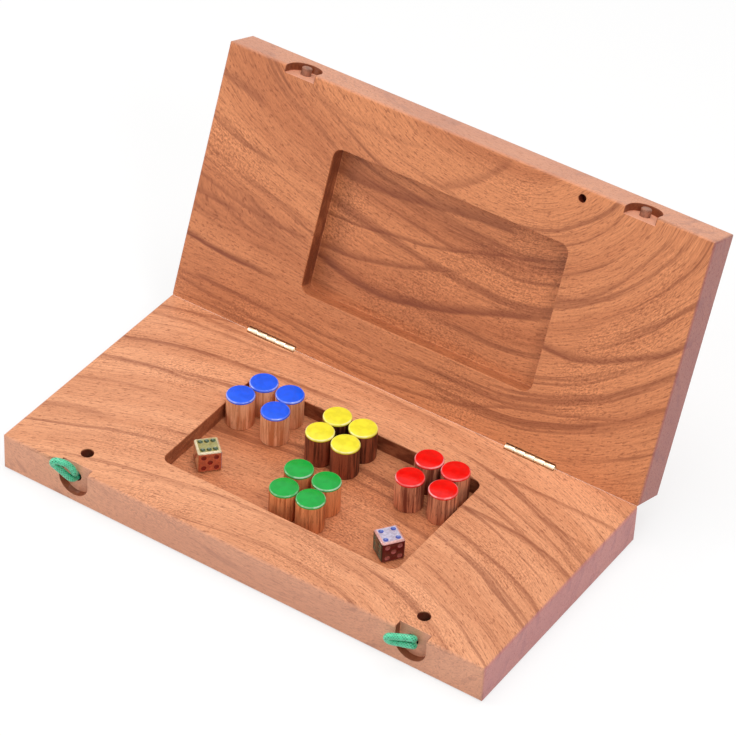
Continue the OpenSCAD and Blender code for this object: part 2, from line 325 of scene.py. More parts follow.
class Wiring:
    """Adds and wires the nodes of one node tree."""

    def __init__(self, tree: bpy.types.NodeTree) -> None:
        """Starts on a tree."""
        self.tree = tree

    def plug(self, socket: Socket, value: object) -> None:
        """Wires a socket into another, or sets it to a value."""
        if isinstance(value, Socket):
            self.tree.links.new(value, socket)
        elif value is not None:
            socket.default_value = value

    def object_point(self, scale: Point = (1, 1, 1), turn: Point = (0, 0, 0), place: Point = (0, 0, 0),
                     source: Socket | None = None) -> Socket:
        """A point of the piece, scaled, then turned, then moved.

        Args:
            scale: Factors along X, Y and Z.
            turn: Turn about X, Y and Z in radians.
            place: What is added last.
            source: Another point in place of the piece's own.

        Returns:
            The vector socket.
        """
        if source is None:
            source = self.tree.nodes.new("ShaderNodeTexCoord").outputs["Object"]
        mapping = self.tree.nodes.new("ShaderNodeMapping")
        self.tree.links.new(source, mapping.inputs["Vector"])
        mapping.inputs["Scale"].default_value = scale
        mapping.inputs["Rotation"].default_value = turn
        mapping.inputs["Location"].default_value = place
        return mapping.outputs[0]

    def in_millimetres(self, turn: Point = (0, 0, 0), place: Point = (0, 0, 0)) -> tuple:
        """X, Y and Z of the piece's own point in millimetres, turned and moved."""
        return self.split(self.object_point((1 / MM,) * 3, turn, place))

    def seen_ray(self) -> Socket:
        """1 on rays from the camera, off gloss or through glass, and 0 on the rest."""
        path = self.tree.nodes.new("ShaderNodeLightPath")
        seen = self.larger(path.outputs["Is Camera Ray"], path.outputs["Is Glossy Ray"])
        return self.larger(seen, path.outputs["Is Transmission Ray"])

    def split(self, vector: Socket) -> tuple[Socket, ...]:
        """The X, Y and Z of a vector."""
        node = self.tree.nodes.new("ShaderNodeSeparateXYZ")
        self.tree.links.new(vector, node.inputs[0])
        return tuple(node.outputs)

    def join(self, x: object, y: object, z: object) -> Socket:
        """A vector from three numbers."""
        node = self.tree.nodes.new("ShaderNodeCombineXYZ")
        for socket, value in zip(node.inputs, (x, y, z)):
            self.plug(socket, value)
        return node.outputs[0]

    def math(self, operation: str, first: object, second: object = None, third: object = None,
             clamp: bool = False) -> Socket:
        """One sum on numbers.

        Args:
            operation: The Math node's operation.
            first: The first number.
            second: The second number.
            third: The third number.
            clamp: Keeps the result from 0 to 1.

        Returns:
            The result.
        """
        node = self.tree.nodes.new("ShaderNodeMath")
        node.operation = operation
        node.use_clamp = clamp
        for socket, value in zip(node.inputs, (first, second, third)):
            self.plug(socket, value)
        return node.outputs[0]

    def times(self, *values: object) -> object:
        """The product of numbers."""
        product = values[0]
        for value in values[1:]:
            product = self.math("MULTIPLY", product, value)
        return product

    def plus(self, first: object, second: object) -> Socket:
        """The sum of two numbers."""
        return self.math("ADD", first, second)

    def minus(self, first: object, second: object) -> Socket:
        """The difference of two numbers."""
        return self.math("SUBTRACT", first, second)

    def larger(self, first: object, second: object) -> Socket:
        """The larger of two numbers."""
        return self.math("MAXIMUM", first, second)

    def scaled(self, value: object, factor: object, offset: object) -> Socket:
        """A number times a factor, plus an offset."""
        return self.math("MULTIPLY_ADD", value, factor, offset)

    def away(self, value: object, middle: float) -> Socket:
        """How far a number is from a middle one."""
        return self.math("ABSOLUTE", self.minus(value, middle))

    def reach(self, first: object, second: object) -> Socket:
        """The length of a flat vector."""
        return self.math("SQRT", self.plus(self.times(first, first), self.times(second, second)))

    def step(self, value: object, low: float, high: float) -> Socket:
        """A smooth rise from 0 to 1 as a value goes from low to high, or a fall where high is less."""
        node = self.tree.nodes.new("ShaderNodeMapRange")
        node.interpolation_type = "SMOOTHSTEP"
        falls = high < low
        self.plug(node.inputs["Value"], value)
        for name, number in zip(("From Min", "From Max", "To Min", "To Max"),
                                (min(low, high), max(low, high), float(falls), float(not falls))):
            node.inputs[name].default_value = number
        return node.outputs[0]

    def noise(self, vector: Socket, detail: float, roughness: float) -> Socket:
        """Noise from 0 to 1 at a point, with finer layers that each keep a share of the last."""
        node = self.tree.nodes.new("ShaderNodeTexNoise")
        self.tree.links.new(vector, node.inputs["Vector"])
        for name, number in (("Scale", 1), ("Detail", detail), ("Roughness", roughness), ("Distortion", 0)):
            node.inputs[name].default_value = number
        return node.outputs[0]

    def speckle(self, scale: Point, detail: float = 2, roughness: float = 0.5, place: Point = (0, 0, 0),
                source: Socket | None = None) -> Socket:
        """Noise at the piece's own point or at another, scaled and moved first."""
        return self.noise(self.object_point(scale, place=place, source=source), detail, roughness)

    def band(self, value: object, rise: tuple[float, float], fall: tuple[float, float]) -> object:
        """A smooth rise from 0 to 1 between two numbers, and a smooth fall between two more."""
        return self.times(self.step(value, *rise), self.step(value, *fall))

    def ramp(self, value: Socket, *stops: tuple[float, Colour]) -> Socket:
        """A colour that runs through stops as a value goes from 0 to 1."""
        node = self.tree.nodes.new("ShaderNodeValToRGB")
        self.tree.links.new(value, node.inputs[0])
        elements = node.color_ramp.elements
        while len(elements) < len(stops):
            elements.new(1)
        for element, (position, colour) in zip(elements, stops):
            element.position = position
            element.color = (*colour, 1)
        return node.outputs[0]

    def mix(self, share: object, first: object, second: object, blend: str = "MIX") -> Socket:
        """Two colours mixed.

        Args:
            share: How much of the second there is, a number or a socket.
            first: A colour or a socket.
            second: A colour or a socket.
            blend: The way they mix.

        Returns:
            The mixed colour.
        """
        node = self.tree.nodes.new("ShaderNodeMix")
        node.data_type = "RGBA"
        node.blend_type = blend
        self.plug(node.inputs["Factor"], share)
        for name, value in (("A", first), ("B", second)):
            socket = next(s for s in node.inputs if s.name == name and s.type == "RGBA")
            self.plug(socket, (*value, 1) if isinstance(value, tuple) else value)
        return next(s for s in node.outputs if s.type == "RGBA")

    def curve(self, value: object, points: list[tuple[float, float]]) -> Socket:
        """A number read off a smooth curve through points from 0 to 1."""
        node = self.tree.nodes.new("ShaderNodeFloatCurve")
        self.plug(node.inputs["Value"], value)
        bends = node.mapping.curves[0].points
        while len(bends) < len(points):
            bends.new(0.5, 0.5)
        for bend, place in zip(bends, points):
            bend.location = place
        node.mapping.update()
        return node.outputs[0]

    def bump(self, height: Socket, depth: float, strength: float = 1) -> Socket:
        """A bumped normal, with the full height as a depth in metres."""
        node = self.tree.nodes.new("ShaderNodeBump")
        node.inputs["Strength"].default_value = strength
        node.inputs["Distance"].default_value = depth
        self.tree.links.new(height, node.inputs["Height"])
        return node.outputs[0]


class Bench(Wiring):
    """The nodes of one material, around one Principled surface."""

    def __init__(self, name: str) -> None:
        """Starts an empty material."""
        self.material = bpy.data.materials.new(name)
        self.material.use_nodes = True
        super().__init__(self.material.node_tree)
        self.tree.nodes.clear()
        self.surface = self.tree.nodes.new("ShaderNodeBsdfPrincipled")
        self.output = self.tree.nodes.new("ShaderNodeOutputMaterial")
        self.tree.links.new(self.surface.outputs[0], self.output.inputs["Surface"])

    def set_surface(self, **inputs: object) -> None:
        """Sets or wires sockets of the surface, named with _ for a space."""
        for name, value in inputs.items():
            self.plug(self.surface.inputs[name.replace("_", " ")], value)


@dataclass(frozen=True)
class GrainLine:
    """One dark growth line through points in millimetres from the board's middle and from the hinges."""

    points: tuple[tuple[float, float], ...]
    width: float
    strength: float
    floor: bool = False
    fades: tuple[float, float] = (0.02, 0.15)


@dataclass(frozen=True)
class GrainFlow:
    """How a board's growth rings lie, in millimetres from its middle and from the hinges."""

    ring_centre: tuple[float, float]
    left_stretch: float
    right_stretch: float
    tilt: float
    wander: float
    seed: float


@dataclass(frozen=True)
class OiledHardwood:
    """Oiled hardwood with dark streaks that follow the growth rings, and open pores.

    The outer face carries the playing field: spots in the usual cross, four yards and a middle.
    """

    flow: GrainFlow
    half: Half
    lines: tuple[GrainLine, ...] = ()
    light: Colour = (0.71, 0.320, 0.165)
    middle: Colour = (0.56, 0.222, 0.104)
    dark: Colour = (0.22, 0.055, 0.022)
    end_grain_and_shade: Colour = (0.46, 0.175, 0.200)
    long_edge_highlight: Colour = (0.66, 0.34, 0.24)
    pocket_shade: float = 0.70
    other_wall_shade: float = 0.35
    side_wall_shade: float = 0.62
    hinge_wall_shade: float = 0.85
    spot_pitch: float = 21.5
    spot_radius: float = 7.8

    def material(self) -> bpy.types.Material:
        """The wood of one half."""
        bench = Bench(f"hardwood_{self.half.value}")
        x, across, depth = place = self.board_point(bench)
        grain = self.grain_point(bench, *place)
        colour, pores = self.figure(bench, grain)
        colour = self.growth_lines(bench, colour, *place)
        colour = self.ends_and_pocket(bench, colour, *place)
        colour = self.cuts(bench, colour, *place)
        colour = self.playing_field(bench, colour, *place)
        height = bench.minus(bench.speckle((0.2, 3, 3), 3, source=grain), pores)
        bench.set_surface(Base_Color=colour, Roughness=bench.scaled(pores, 0.22, 0.42),
                          Specular_IOR_Level=0.35, Normal=bench.bump(height, 0.06 * MM, 0.6))
        return bench.material

    def board_point(self, bench: Bench) -> tuple[Socket, ...]:
        """X, the distance from the hinges and the depth below the inner face, in millimetres."""
        if self.half is Half.BASE:
            x, y, z = bench.in_millimetres()
            depth = bench.minus(SLAB.z / MM, z)
        else:
            turn = Matrix.Rotation(LID_ANGLE, 3, "X")
            place = (HINGE_AXIS - turn @ HINGE_AXIS) / MM
            x, y, z = bench.in_millimetres((LID_ANGLE, 0, 0), tuple(place))
            depth = bench.minus(z, (SLAB.z + JOINT_GAP) / MM)
        return x, bench.minus(HINGE_AXIS.y / MM, y), depth

    def grain_point(self, bench: Bench, x: object, across: object, depth: object) -> Socket:
        """The point as the grain sees it: along the fibres, across the rings and into the board."""
        flow = self.flow
        offset = bench.minus(x, flow.ring_centre[0])
        flatter = flow.left_stretch
        if self.half is Half.LID:
            flatter = bench.times(bench.math("DIVIDE", across, 60.0, clamp=True), flatter)
        left = bench.times(bench.math("MINIMUM", offset, 0.0), flatter)
        right = bench.times(bench.larger(offset, 0.0), flow.right_stretch)
        radius = bench.reach(bench.plus(left, right), bench.minus(across, flow.ring_centre[1]))
        ring = bench.scaled(depth, flow.tilt, radius)
        wander = bench.speckle((0.012, 0.02, 0.03), place=(flow.seed, 0, 0),
                               source=bench.join(x, across, depth))
        ring = bench.plus(ring, bench.times(bench.minus(wander, 0.5), flow.wander))
        return bench.join(x, ring, depth)

    def figure(self, bench: Bench, grain: Socket) -> tuple[Socket, ...]:
        """The streaks, lines and fibres of the wood.

        Args:
            bench: The material's bench.
            grain: The point as the grain sees it.

        Returns:
            The colour, and a mask of the open pores.
        """

        def layer(scale: Point, detail: float = 2, roughness: float = 0.5) -> Socket:
            """Noise at one scale, drawn out along the grain."""
            return bench.speckle(scale, detail, roughness, (self.flow.seed, self.flow.seed, 0), grain)

        bands = layer((0.003, 0.05, 0.03), 3, 0.55)
        colour = bench.ramp(bands, (0.34, self.middle), (0.60, self.light))
        dusk = bench.step(layer((0.006, 0.19, 0.09), 4, 0.62), 0.47, 0.33)
        colour = bench.mix(bench.times(dusk, 0.60), colour, self.dark)
        fibres = bench.ramp(layer((0.07, 1.3, 0.9), 4, 0.7), (0.28, (0.70, 0.64, 0.61)), (0.50, WHITE),
                            (0.74, (1.16, 1.19, 1.21)))
        colour = bench.mix(1.0, colour, fibres, "MULTIPLY")
        ripple = bench.ramp(layer((0.9, 1.3, 1.2), 2, 0.7), (0.36, (0.66, 0.60, 0.57)), (0.50, WHITE),
                            (0.64, (1.20, 1.22, 1.24)))
        curly = bench.step(layer((0.018, 0.022, 0.02)), 0.50, 0.62)
        curled = bench.mix(1.0, colour, ripple, "MULTIPLY")
        colour = bench.mix(bench.scaled(curly, 0.65, 0.30), colour, curled)
        pores = bench.step(layer((0.32, 1.5, 1.3), 2, 0.6), 0.56, 0.66)
        return bench.mix(bench.times(pores, 0.60), colour, self.dark), pores

    def growth_lines(self, bench: Bench, colour: object, x: object, across: object,
                     depth: object) -> Socket:
        """The board's own dark lines, each sharp towards the hinges and fading away from them."""
        board = bench.join(x, across, depth)
        ragged = bench.scaled(bench.speckle((0.05, 0.9, 0.5), 3, 0.65, source=board), 1.5, 0.25)
        wave = bench.times(bench.minus(bench.speckle((0.045, 0.02, 0.02), source=board), 0.5), 3.0)
        deep = bench.step(depth, 6.0, 7.5)
        shallow = bench.minus(1.0, deep)
        total = 0.0
        for line in self.lines:
            start, end = line.points[0][0], line.points[-1][0]
            share = bench.math("DIVIDE", bench.minus(x, start), end - start)
            level = bench.curve(share, [((px - start) / (end - start), py / 125) for px, py in line.points])
            off = bench.minus(bench.plus(across, wave), bench.times(level, 125.0))
            mask = bench.times(bench.band(off, (-0.8 * line.width, 0.0), (2.6 * line.width, 0.0)),
                               bench.band(share, (0.0, line.fades[0]), (1.0, 1.0 - line.fades[1])),
                               deep if line.floor else shallow)
            total = bench.larger(total, bench.times(mask, line.strength))
        return bench.mix(bench.math("MULTIPLY", total, ragged, clamp=True), colour, self.dark)

    def ends_and_pocket(self, bench: Bench, colour: object, x: object, across: object,
                        depth: object) -> Socket:
        """Darker ends, partly end grain and partly painted shade; paler long edges away from the hinges, a
        painted highlight; and painted shade down in the pocket and on its walls.
        """
        # The end faces are darker: partly end grain, partly painted shade, for the end faces get less light.
        end = bench.step(bench.math("ABSOLUTE", x), 124.0, 124.9)
        colour = bench.mix(bench.times(end, 0.72), colour, self.end_grain_and_shade)
        # Painted highlight: a paler, pinker tone on the long face away from the hinges, where the light
        # falls.
        colour = bench.mix(bench.times(bench.step(across, 124.0, 125.1), 0.45), colour, self.long_edge_highlight)
        middle_x, middle_y = (number / MM for number in self.half.pocket_middle)
        off_x, off_y = bench.away(x, middle_x), bench.away(across, HINGE_AXIS.y / MM - middle_y)
        reach_x, reach_y = POCKET.x / MM / 2, POCKET.y / MM / 2
        hollow = bench.times(bench.step(off_x, reach_x + 0.25, reach_x + 0.05),
                             bench.step(off_y, reach_y + 0.25, reach_y + 0.05), bench.step(depth, 0.3, 0.8))
        # Painted shade down in the pocket: its floor and walls are made darker and warmer.
        pocket_shaded = bench.mix(1.0, colour, (0.84, 0.68, 0.56), "MULTIPLY")
        colour = bench.mix(bench.times(hollow, self.pocket_shade), colour, pocket_shaded)
        # Painted shade on the pocket's walls, strongest on the side walls and on the wall towards the hinges,
        # in blotches; partly the router's burn.
        side_wall_shade = bench.times(bench.step(off_x, reach_x - 0.7, reach_x - 0.2), self.side_wall_shade)
        hinge_wall_shade = bench.times(bench.step(across, 40.0, 30.0), self.hinge_wall_shade)
        shade_blotch = bench.speckle((0.09, 0.09, 0.25), 3, 0.6, source=bench.join(x, across, depth))
        shade = bench.times(bench.larger(side_wall_shade, bench.larger(hinge_wall_shade, self.other_wall_shade)),
                            bench.scaled(bench.step(shade_blotch, 0.40, 0.60), 0.45, 0.75))
        wall = bench.times(hollow, bench.step(depth, 8.4, 8.0))
        return bench.mix(bench.math("MULTIPLY", wall, shade, clamp=True), colour, dimmed(self.dark, 0.8))

    def cuts(self, bench: Bench, colour: object, x: object, across: object,
             depth: object) -> Socket:
        """Painted shade on the walls of the slots and in the drilled holes, and painted light on the back of
        the slots.
        """
        off = bench.away(bench.away(x, SLOT_SHIFT / MM), CLOSURE_X / MM)
        radius = SLOT_WIDTH / MM / 2
        reach = bench.reach(off, bench.larger(bench.minus(depth, self.half.slot_turn), 0.0))
        # Painted shade on the slots' walls: dark red-brown.
        wall = bench.times(bench.band(reach, (radius - 0.25, radius - 0.05), (radius + 0.3, radius + 0.1)),
                           bench.band(across, (121.35, 121.6), (125.05, 124.8)))
        colour = bench.mix(bench.times(wall, 0.82), colour, (0.15, 0.026, 0.008))
        # Painted light: the back of each slot is made paler than the wood around it.
        back = bench.times(bench.step(reach, radius + 0.1, radius - 0.1),
                           bench.band(across, (121.1, 121.25), (121.6, 121.4)))
        colour = bench.mix(bench.times(back, 0.60), colour, (0.86, 0.42, 0.29))
        if self.half is Half.BASE:
            reach = bench.reach(bench.minus(bench.math("ABSOLUTE", x), CLOSURE_X / MM),
                                bench.minus(depth, CORD_HOLE_BELOW))
            # Painted shade in the cord holes: nearly black inside.
            cord_hole_shade = bench.times(bench.step(reach, 3.15, 3.0),
                                    bench.band(across, (107.0, 109.0), (121.3, 121.1)))
            colour = bench.mix(bench.times(cord_hole_shade, 0.9), colour, (0.03, 0.006, 0.003))
        for hole in self.half.holes:
            reach = bench.reach(bench.minus(x, hole.x), bench.minus(across, hole.across))
            # Painted shade in the drilled holes: dark red-brown inside.
            mask = bench.times(bench.step(reach, hole.radius, hole.radius - 0.15),
                               bench.band(depth, (0.15, 0.9), (hole.depth + 0.3, hole.depth)))
            colour = bench.mix(bench.times(mask, 0.94), colour, (0.14, 0.016, 0.009))
        return colour

    def playing_field(self, bench: Bench, colour: object, x: object, across: object,
                      depth: object) -> Socket:
        """Painted spots on the outer face.

        Args:
            bench: The material's bench.
            colour: The wood's colour.
            x: Millimetres along the board.
            across: Millimetres from the hinges.
            depth: Millimetres below the inner face.

        Returns:
            The colour with the spots.
        """
        pitch = self.spot_pitch
        column = bench.math("ROUND", bench.math("DIVIDE", x, pitch))
        up = bench.math("ROUND", bench.math("DIVIDE", across, pitch))
        side = bench.math("ABSOLUTE", column)
        off_x = bench.minus(x, bench.times(column, pitch))
        reach = bench.reach(off_x, bench.minus(across, bench.times(up, pitch)))
        face = bench.step(depth, 18.6, 18.9)

        def at(value: object, number: float) -> Socket:
            """1 where a row or column has that number."""
            return bench.math("COMPARE", value, number, 0.1)

        def over(value: object, number: float) -> Socket:
            """1 where a row or column has a higher number."""
            return bench.math("GREATER_THAN", value, number)

        def under(value: object, number: float) -> Socket:
            """1 where a row or column has a lower number."""
            return bench.math("LESS_THAN", value, number)

        arms = bench.times(bench.larger(at(side, 1), at(up, 1)), over(bench.larger(side, up), 1.5))
        tips = bench.larger(bench.times(at(side, 0), at(up, 5)), bench.times(at(side, 5), at(up, 0)))
        corners = bench.times(at(side, 1), at(up, 1))
        path = bench.times(under(side, 5.5), under(up, 5.5), bench.larger(bench.larger(arms, corners), tips),
                           bench.minus(1.0, bench.times(over(side, 1.5), over(up, 1.5))))
        home_up = bench.times(at(side, 0), over(up, 0.5), under(up, 4.5))
        home_side = bench.times(at(up, 0), over(side, 0.5), under(side, 4.5))
        yards = bench.times(over(side, 3.5), under(side, 5.5), over(up, 3.5), under(up, 5.5))
        right = over(x, 0.0)
        left_paint, right_paint, side_left, up_paint = self.half.field_paints
        disc = bench.times(bench.step(reach, self.spot_radius + 0.12, self.spot_radius - 0.12), face)
        rim = bench.times(bench.step(reach, self.spot_radius - 0.9, self.spot_radius - 0.6), disc)
        colour = bench.mix(bench.times(rim, path), colour, (0.055, 0.022, 0.012))
        colour = bench.mix(bench.times(disc, yards), colour, bench.mix(right, left_paint, right_paint))
        colour = bench.mix(bench.times(disc, home_side), colour, bench.mix(right, side_left, right_paint))
        return bench.mix(bench.times(disc, home_up), colour, up_paint)


@dataclass(frozen=True)
class PawnFinish:
    """A dipped enamel top on bare wood with upright grain, and a painted highlight in patches of the rim. The
    heights of that band are in the frame's millimetres.
    """

    colour: PawnColour
    enamel: Colour
    wood_light: Colour
    wood_dark: Colour
    glint_rise: tuple[float, float] = (25.55, 25.85)
    glint_fall: tuple[float, float] = (26.28, 26.12)

    def materials(self) -> list[bpy.types.Material]:
        """The bare wood and the enamel."""
        return [self.wood(), self.paint()]

    def wood(self) -> bpy.types.Material:
        """Bare wood with upright grain."""
        bench = Bench(f"pawn_wood_{self.colour.value}")
        tone = bench.speckle((95, 95, 12))
        streaks = bench.speckle((820, 820, 45), 4, 0.65, place=(3.1, 0.7, 0))
        blend = bench.scaled(tone, 0.8, bench.times(streaks, 1.1))
        colour = bench.ramp(bench.math("SUBTRACT", blend, 0.45, clamp=True), (0.34, self.wood_dark),
                            (0.62, self.wood_light))
        pores = bench.step(bench.speckle((2600, 2600, 320), 2, 0.6), 0.58, 0.70)
        colour = bench.mix(bench.times(pores, 0.45), colour, dimmed(self.wood_dark, 0.45))
        bench.set_surface(Base_Color=colour, Roughness=0.5, Specular_IOR_Level=0.2,
                          Normal=bench.bump(streaks, 0.05 * MM, 0.6))
        return bench.material

    def paint(self) -> bpy.types.Material:
        """Thick glossy enamel, a little uneven, with a paler band in patches of the rim: a painted highlight
        for glints there.
        """
        bench = Bench(f"pawn_enamel_{self.colour.value}")
        swell = bench.speckle((330, 330, 330), 2, 0.4)
        colour = bench.mix(bench.step(swell, 0.35, 0.65), dimmed(self.enamel, 0.88), self.enamel)
        _, _, height = bench.in_millimetres()
        glint_patches = bench.step(bench.speckle((210, 210, 60), place=(0, 0, 1)), 0.42, 0.60)
        # Painted highlight: the rim's band, paled towards white in patches, stands for glints.
        rim = bench.times(bench.band(height, self.glint_rise, self.glint_fall), bench.scaled(glint_patches, 0.5, 0.18))
        colour = bench.mix(rim, colour, tuple(0.5 * c + 0.48 for c in self.enamel))
        bench.set_surface(Base_Color=colour, Roughness=bench.scaled(bench.speckle((2200,) * 3), 0.08, 0.16),
                          Specular_IOR_Level=0.15, Coat_Weight=0.35, Coat_Roughness=0.08,
                          Normal=bench.bump(swell, 0.10 * MM, 0.35))
        return bench.material


@dataclass(frozen=True)
class Brass:
    """Drawn or turned brass with fine marks along X."""

    name: str
    colour: Colour = (0.93, 0.84, 0.62)
    roughness: float = 0.30

    def material(self) -> bpy.types.Material:
        """The brass."""
        bench = Bench(self.name)
        marks = bench.speckle((120, 2600, 2600), 3, 0.6)
        stain = bench.step(bench.speckle((160, 160, 160), 3, 0.6), 0.45, 0.80)
        colour = bench.mix(bench.times(stain, 0.6), self.colour, dimmed(self.colour, 0.66))
        bench.set_surface(Base_Color=colour, Metallic=1.0,
                          Roughness=bench.scaled(marks, 0.22, self.roughness - 0.08),
                          Normal=bench.bump(marks, 0.02 * MM, 0.5))
        return bench.material


@dataclass(frozen=True)
class PegWood:
    """End grain on a peg, with rings about its middle."""

    colour: Colour = (0.30, 0.12, 0.07)

    def material(self) -> bpy.types.Material:
        """The peg's wood."""
        bench = Bench("peg_wood")
        pores = bench.speckle((2800, 2800, 2800), 2, 0.6)
        tone = bench.speckle((500, 500, 500), 3, 0.6)
        colour = bench.ramp(tone, (0.3, dimmed(self.colour, 0.6)), (0.7, dimmed(self.colour, 1.35)))
        colour = bench.mix(bench.times(bench.step(pores, 0.55, 0.68), 0.6), colour, dimmed(self.colour, 0.3))
        bench.set_surface(Base_Color=colour, Roughness=0.55, Normal=bench.bump(pores, 0.04 * MM, 0.6))
        return bench.material


@dataclass(frozen=True)
class BraidedElastic:
    """A braided sleeve over rubber strands, in turquoise green."""

    colour: Colour = (0.006, 0.27, 0.115)
    highlight: Colour = (0.07, 0.62, 0.34)
    strand_turns: float = 7.0
    strand_climb: float = 0.95

    def material(self) -> bpy.types.Material:
        """The sleeve. Its pattern follows the cord's own UV map: turns across, millimetres along."""
        bench = Bench("braided_elastic")
        around, along, _ = bench.split(self.cord_point(bench))
        turns, climb = bench.times(around, self.strand_turns), bench.times(along, self.strand_climb)
        one = bench.math("SINE", bench.times(bench.plus(turns, climb), math.tau))
        other = bench.math("SINE", bench.times(bench.minus(turns, climb), math.tau))
        strands = bench.scaled(bench.larger(one, other), 0.5, 0.5)
        fuzz = bench.speckle((5200, 5200, 5200), 2, 0.6)
        sheen = bench.step(bench.speckle((700, 700, 700)), 0.45, 0.60)
        # The ramp paints shade into the hollows between strands and a highlight onto their crowns, and the
        # sheen noise mixes in streaks of painted highlight.
        colour = bench.ramp(strands, (0.15, dimmed(self.colour, 0.35)), (0.62, self.colour),
                            (0.98, self.highlight))
        colour = bench.mix(bench.times(sheen, 0.62), colour, self.highlight)
        height = bench.scaled(fuzz, 0.3, strands)
        bench.set_surface(Base_Color=colour, Roughness=0.34, Specular_IOR_Level=0.8, Sheen_Weight=0.2,
                          Sheen_Roughness=0.4, Normal=bench.bump(height, 0.09 * MM, 0.8))
        return bench.material

    @staticmethod
    def cord_point(bench: Bench) -> Socket:
        """The cord's UV map as a point."""
        node = bench.tree.nodes.new("ShaderNodeUVMap")
        node.uv_map = "cord"
        return node.outputs[0]


@dataclass(frozen=True)
class DiePaint:
    """Semi-gloss paint on a die, a little mottled."""

    name: str
    colour: Colour
    roughness: float = 0.32

    def material(self) -> bpy.types.Material:
        """The paint."""
        bench = Bench(self.name)
        mottle = bench.speckle((900, 900, 900), 3, 0.6)
        colour = bench.mix(bench.step(mottle, 0.38, 0.66), dimmed(self.colour, 0.72), self.colour)
        bench.set_surface(Base_Color=colour, Roughness=self.roughness, Coat_Weight=0.3, Coat_Roughness=0.12,
                          Normal=bench.bump(mottle, 0.04 * MM, 0.4))
        return bench.material


# The pieces


@dataclass
class BoardHalf:
    """One routed half of the box, with its worked edges softened as a router and sandpaper leave them."""

    half: Half
    finish: OiledHardwood
    rim_radius: float = 0.35 * MM
    floor_radius: float = 0.6 * MM
    slot_radius: float = 0.25 * MM

    def build(self, node: Piece) -> Piece:
        """Makes the half from its CAD node.

        Args:
            node: The CAD node.

        Returns:
            The finished piece.
        """
        piece = merged_copy(node, f"{self.half.value}_half_wood")
        if self.half is Half.LID:
            piece.data.transform(opening_turn().inverted())
        inner = SLAB.z if self.half is Half.BASE else SLAB.z + JOINT_GAP
        into = -1 if self.half is Half.BASE else 1
        self.soften(piece, self.pocket_edge(inner), self.rim_radius)
        self.soften(piece, self.pocket_edge(inner + into * POCKET.z), self.floor_radius)
        self.soften(piece, self.slot_edge(inner), self.slot_radius)
        self.crisp_hinge_edge(piece, inner)
        if self.half is Half.LID:
            piece.data.transform(opening_turn())
        smooth(piece, 30)
        apply_modifier(piece, "WEIGHTED_NORMAL", keep_sharp=True, weight=100)
        dress(piece, [self.finish.material()])
        seat(piece, self.half.value, "hardwood", f"{self.half.value}_half")
        return piece

    @staticmethod
    def soften(piece: Piece, wanted: Callable[[Vector, Vector], bool], radius: float) -> None:
        """Rounds the edges that pass a test."""
        edit(piece, "EDGE")
        if select_edges(piece, wanted):
            bpy.ops.mesh.bevel(offset=radius, segments=2, affect="EDGES", clamp_overlap=True)
        leave_edit()

    def pocket_edge(self, level: float) -> Callable[[Vector, Vector], bool]:
        """A test for the pocket's edges at one level."""
        reach_x, reach_y = POCKET.x / 2 + 0.05 * MM, POCKET.y / 2 + 0.05 * MM
        middle_x, middle_y = self.half.pocket_middle

        def wanted(first: Vector, second: Vector) -> bool:
            """Both ends lie on the pocket's outline."""
            return all(abs(end.z - level) < MESH_TOLERANCE and abs(end.x - middle_x) < reach_x
                       and abs(end.y - middle_y) < reach_y for end in (first, second))

        return wanted

    @staticmethod
    def crisp_hinge_edge(piece: Piece, inner: float) -> None:
        """Draws the rounding of the edge at the hinges to a crisp line, just short of the other half."""
        back = SLAB.y / 2
        least, most = 0.004 * MM, 0.19 * MM
        clearance = 0.02 * MM
        into = 1 if inner < HINGE_AXIS.z else -1
        for vertex in piece.data.vertices:
            down = (inner - vertex.co.z) * into
            if least < back - vertex.co.y < most and least < down < most:
                vertex.co.y = HINGE_AXIS.y - clearance
                vertex.co.z = HINGE_AXIS.z - into * clearance

    @staticmethod
    def slot_edge(inner: float) -> Callable[[Vector, Vector], bool]:
        """A test for the rounded end of a slot in the front face."""
        clear_of_rim = 1.6 * MM

        def wanted(first: Vector, second: Vector) -> bool:
            """Both ends lie on the front face, at a slot and clear of the inner face."""
            return all(abs(end.y + SLAB.y / 2) < MESH_TOLERANCE
                       and abs(abs(end.x - SLOT_SHIFT) - CLOSURE_X) < SLOT_WIDTH / 2 + 0.05 * MM
                       and abs(end.z - inner) > clear_of_rim for end in (first, second))

        return wanted


